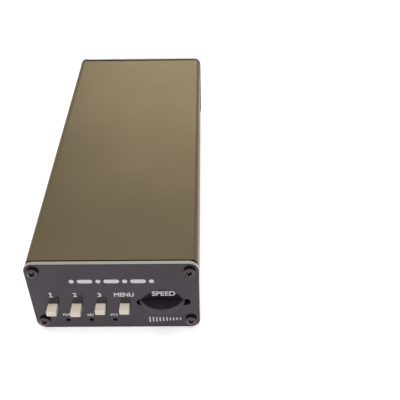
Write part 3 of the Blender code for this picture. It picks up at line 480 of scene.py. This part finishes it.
# Each legend's text, the middle of its place across and up, its width and its height
legends = {
    "front": {
        "legend_2": ("2", 13.35, 15.1, 1.15, 1.8),
        "legend_3": ("3", 20.55, 15.05, 1.15, 1.8),
        "legend_menu": ("MENU", 27.8, 15.1, 5.85, 1.75),
        "legend_speed": ("SPEED", 39.45, 15.5, 6.85, 2.0),
        "legend_power": ("PWR", 9.75, 6.1, 2.4, 1.05),
        "legend_key_lamp": ("KEY", 16.98, 6.0, 1.95, 1.05),
        "legend_ptt": ("PTT", 24.1, 5.85, 2.2, 1.05),
    },
    "rear": {
        "legend_key_jack": ("KEY", 9.1, 4.57, 4.0, 1.9),
        "legend_tx_jack": ("TX", 23.3, 4.57, 2.5, 1.9),
        "legend_reset": ("RST", 32.85, 4.57, 3.7, 1.9),
        "legend_supply": ("DC 5V", 41.8, 4.57, 6.6, 1.9),
    },
}
addedPieces = []


def panelFrame(side):
    # X to the right and Y up as the panel is looked at, Z out of its face, from its lower left corner
    low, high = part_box(side + "_panel")
    upright = Matrix.Rotation(math.radians(90), 4, "X")
    if side == "front":
        return Matrix.Translation((low.x, low.y, low.z)) @ upright
    halfTurn = Matrix.Rotation(math.radians(180), 4, "Z")
    return Matrix.Translation((high.x, high.y, low.z)) @ halfTurn @ upright


def addObject(name, data):
    thing = bpy.data.objects.new(name, data)
    bpy.context.scene.collection.objects.link(thing)
    return thing


def addPiece(name, mesh, finish, body, place):
    piece = addObject(name, mesh)
    piece.matrix_world = place
    mesh.materials.clear()
    mesh.materials.append(finishes[finish])
    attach(piece, body)
    addedPieces.append(piece)


def meshFrom(shape, name):
    mesh = bpy.data.meshes.new(name)
    shape.to_mesh(mesh)
    shape.free()
    return mesh


def thickenStrokes(mesh, bold):
    # every wall of a letter moves out by the same distance, and a corner as far as both its walls ask
    shape = bmesh.new()
    shape.from_mesh(mesh)
    bmesh.ops.remove_doubles(shape, verts=shape.verts, dist=letterLook["shortestWall"] * mm)
    shape.normal_update()
    moves = []
    for point in shape.verts:
        walls = []
        for face in point.link_faces:
            isWall = abs(face.normal.z) < letterLook["wallTilt"]
            if isWall and all((face.normal - wall).length > letterLook["sameWall"] for wall in walls):
                walls.append(face.normal.copy())
        outwards = sum(walls, Vector()).normalized()
        moves.append(outwards * bold / max(outwards.dot(walls[0]), letterLook["sharpest"]))
    for point, move in zip(shape.verts, moves):
        point.co += move
    shape.to_mesh(mesh)
    shape.free()


def letterMesh(text, centre, size):
    # the built-in font, fitted to a box of the given size with its strokes thickened
    curve = bpy.data.curves.new("letters", "FONT")
    curve.body = text
    curve.extrude = letterLook["blockDepth"]
    curve.resolution_u = letterLook["curveSteps"]
    carrier = addObject("letters", curve)
    bpy.context.view_layer.update()
    shape = carrier.evaluated_get(bpy.context.evaluated_depsgraph_get())
    mesh = bpy.data.meshes.new_from_object(shape)
    bpy.data.objects.remove(carrier)
    low = Vector([min(point.co[axis] for point in mesh.vertices) for axis in range(3)])
    high = Vector([max(point.co[axis] for point in mesh.vertices) for axis in range(3)])
    width, height = [side * mm for side in size]
    depth = (inkLook["height"] + inkLook["sink"]) * mm
    bold = letterLook["boldShare"] * height
    room = (width - 2 * bold, height - 2 * bold, depth)
    stretch = Vector([share / extent for share, extent in zip(room, high - low)])
    middle = (low + high) / 2
    target = Vector((centre[0] * mm, centre[1] * mm, depth / 2 - inkLook["sink"] * mm))
    for point in mesh.vertices:
        point.co = (point.co - middle) * stretch + target
    thickenStrokes(mesh, bold)
    return mesh


def raisedMesh(name, outlines):
    # each outline becomes a flat block of ink, sunk a little into the panel
    shape = bmesh.new()
    foot = -inkLook["sink"] * mm
    depth = (inkLook["height"] + inkLook["sink"]) * mm
    for outline in outlines:
        face = shape.faces.new([shape.verts.new((across * mm, up * mm, foot)) for across, up in outline])
        face.normal_update()
        grown = bmesh.ops.extrude_face_region(shape, geom=[face])["geom"]
        raised = [item for item in grown if isinstance(item, bmesh.types.BMVert)]
        bmesh.ops.translate(shape, verts=raised, vec=(0.0, 0.0, depth))
    bmesh.ops.recalc_face_normals(shape, faces=shape.faces)
    return meshFrom(shape, name)


slotLook = {"cornerSteps": 6, "shortestEdge": 0.0001}    # points nearer than the shortest edge are one


def slotOutline(left, right, bottom, top):
    # a bar with round ends, or a round dot where it is as wide as it is high
    radius = min(right - left, top - bottom) / 2
    steps = slotLook["cornerSteps"]
    arcCentres = ((right - radius, top - radius), (left + radius, top - radius),
                  (left + radius, bottom + radius), (right - radius, bottom + radius))
    outline = []
    for quarter, (across, up) in enumerate(arcCentres):
        for step in range(steps + 1):
            angle = math.radians(90 * (quarter + step / steps))
            point = Vector((across + radius * math.cos(angle), up + radius * math.sin(angle)))
            if all((point - other).length > slotLook["shortestEdge"] for other in outline):
                outline.append(point)
    return outline


# The strokes of the speed scale grow shorter from the first to the last
scaleLook = {
    "count": 10, "left": 34.57, "pitch": 1.03, "width": 0.42,
    "firstSpan": (2.38, 4.97), "lastSpan": (3.4, 4.45),
}


def scaleMarks(look):
    marks = []
    for index in range(look["count"]):
        share = index / (look["count"] - 1)
        spans = zip(look["firstSpan"], look["lastSpan"])
        bottom, top = [first + (last - first) * share for first, last in spans]
        left = look["left"] + index * look["pitch"]
        marks.append((left, left + look["width"], bottom, top))
    return marks


# Rows of plain dots and dashes: left end, middle height, dot, gap and order
stripRows = {
    "front": [(12.4, 20.9, 1.5, 0.85, ".-.-.-.")],
    "rear": [
        (6.7, 24.5, 1.15, 0.87, ".-.-.-."),
        (6.7, 21.8, 0.7, 0.7, ".-.-.-.-."),
        (6.7, 19.6, 0.7, 0.8, "-.-.-.-"),
    ],
}
dotsPerDash = 3


def dotsAndDashes(left, middle, dot, gap, order):
    marks = []
    for sign in order:
        length = dot if sign == "." else dotsPerDash * dot
        marks.append((left, left + length, middle - dot / 2, middle + dot / 2))
        left += length + gap
    return marks


# The figure 1, with its flag and foot: outline from the middle of the foot
figureOne = {
    "place": (6.3, 14.15),
    "outline": (
        (-0.62, 0.0), (0.62, 0.0), (0.62, 0.28), (0.19, 0.28), (0.19, 2.0), (-0.12, 2.0),
        (-0.58, 1.64), (-0.58, 1.32), (-0.19, 1.54), (-0.19, 0.28), (-0.62, 0.28),
    ),
}

for side, sideLegends in legends.items():
    place = panelFrame(side)
    for name, (text, across, up, width, height) in sideLegends.items():
        addPiece(name, letterMesh(text, (across, up), (width, height)), "whiteInk", "case", place)
    marks = [mark for row in stripRows[side] for mark in dotsAndDashes(*row)]
    rowMesh = raisedMesh("rows", [slotOutline(*mark) for mark in marks])
    addPiece(side + "_dot_dash_rows", rowMesh, "whiteInk", "case", place)
scaleMesh = raisedMesh("scale", [slotOutline(*mark) for mark in scaleMarks(scaleLook)])
addPiece("speed_scale", scaleMesh, "whiteInk", "case", panelFrame("front"))
left, foot = figureOne["place"]
oneMesh = raisedMesh("one", [[(left + across, foot + up) for across, up in figureOne["outline"]]])
addPiece("legend_1", oneMesh, "whiteInk", "case", panelFrame("front"))
print("legends printed:", len(addedPieces))


# Floor

def backdropRays(tree):
    # 1 where the camera, a reflection or a see-through piece looks at the surroundings
    path = addNode(tree, "ShaderNodeLightPath").outputs
    mirrored = calculate(tree, "MAXIMUM", path["Is Glossy Ray"], path["Is Transmission Ray"])
    return calculate(tree, "MAXIMUM", path["Is Camera Ray"], mirrored)


floorLook = {
    "size": 3000.0, "tone": (222, 222, 222), "roughness": 0.6,
    "glow": 0.50, "glowTone": (255, 255, 255),
}


def makeFloor(look):
    # the floor is seen as white, and the keyer's soft shadow stays on it
    constants = {"Base Color": linear(look["tone"]), "Roughness": look["roughness"],
                 "Emission Color": linear(look["glowTone"])}
    material, tree, shader = startFinish("paleFloor", constants)
    glow = calculate(tree, "MULTIPLY", backdropRays(tree), look["glow"])
    connect(tree, shader, {"Emission Strength": glow})
    shape = bmesh.new()
    bmesh.ops.create_grid(shape, x_segments=1, y_segments=1, size=look["size"] / 2 * mm)
    floor = addObject("floor", meshFrom(shape, "floor"))
    floor.data.materials.append(material)


# Lights and surroundings

lampLooks = {
    "overheadSoftbox": {
        "place": (-20, -120, 700), "aim": (0, 0, 15), "size": (420, 420),
        "power": 1.6, "tone": (255, 252, 247),
    },
    "farSoftbox": {
        "place": (70, 720, 350), "aim": (0, 0, 15), "size": (520, 330),
        "power": 1.2, "tone": (255, 252, 247),
    },
}
worldLook = {"light": (232, 232, 234), "backdrop": (255, 255, 255)}


def addLamp(name, look):
    data = bpy.data.lights.new(name, "AREA")
    data.shape = "RECTANGLE"
    data.size, data.size_y = [side * mm for side in look["size"]]
    data.energy = look["power"]
    data.color = linear(look["tone"])[:3]
    lamp = addObject(name, data)
    lamp.location = Vector(look["place"]) * mm
    beam = Vector(look["aim"]) * mm - lamp.location
    lamp.rotation_euler = beam.to_track_quat("-Z", "Y").to_euler()
    lamp.visible_camera = False


def makeWorld(look):
    world = bpy.data.worlds.new("studio")
    bpy.context.scene.world = world
    world.use_nodes = True
    tree = world.node_tree
    shown = mixColours(tree, backdropRays(tree), linear(look["light"]), linear(look["backdrop"]))
    connect(tree, tree.nodes["Background"], {"Color": shown})


# Camera, at the photograph's angle

cameraLook = {
    "place": (27.604, -185.155, 161.096), "heading": 0.904, "tilt": 49.052, "roll": -1.03,
    "lens": 58.72, "sensor": 36.0, "clip": (10, 10000),
}


def addCamera(look):
    data = bpy.data.cameras.new("camera")
    data.lens = look["lens"]
    data.sensor_width = look["sensor"]
    data.clip_start, data.clip_end = [distance * mm for distance in look["clip"]]
    camera = addObject("camera", data)
    turn = Matrix.Rotation(math.radians(look["heading"]), 4, "Z")
    tilt = Matrix.Rotation(math.radians(look["tilt"]), 4, "X")
    roll = Matrix.Rotation(math.radians(look["roll"]), 4, "Z")
    camera.matrix_world = Matrix.Translation(Vector(look["place"]) * mm) @ turn @ tilt @ roll
    bpy.context.scene.camera = camera


makeFloor(floorLook)
makeWorld(worldLook)
for name, look in lampLooks.items():
    addLamp(name, look)
addCamera(cameraLook)
bpy.context.scene.view_settings.view_transform = "Standard"
print("studio set up")
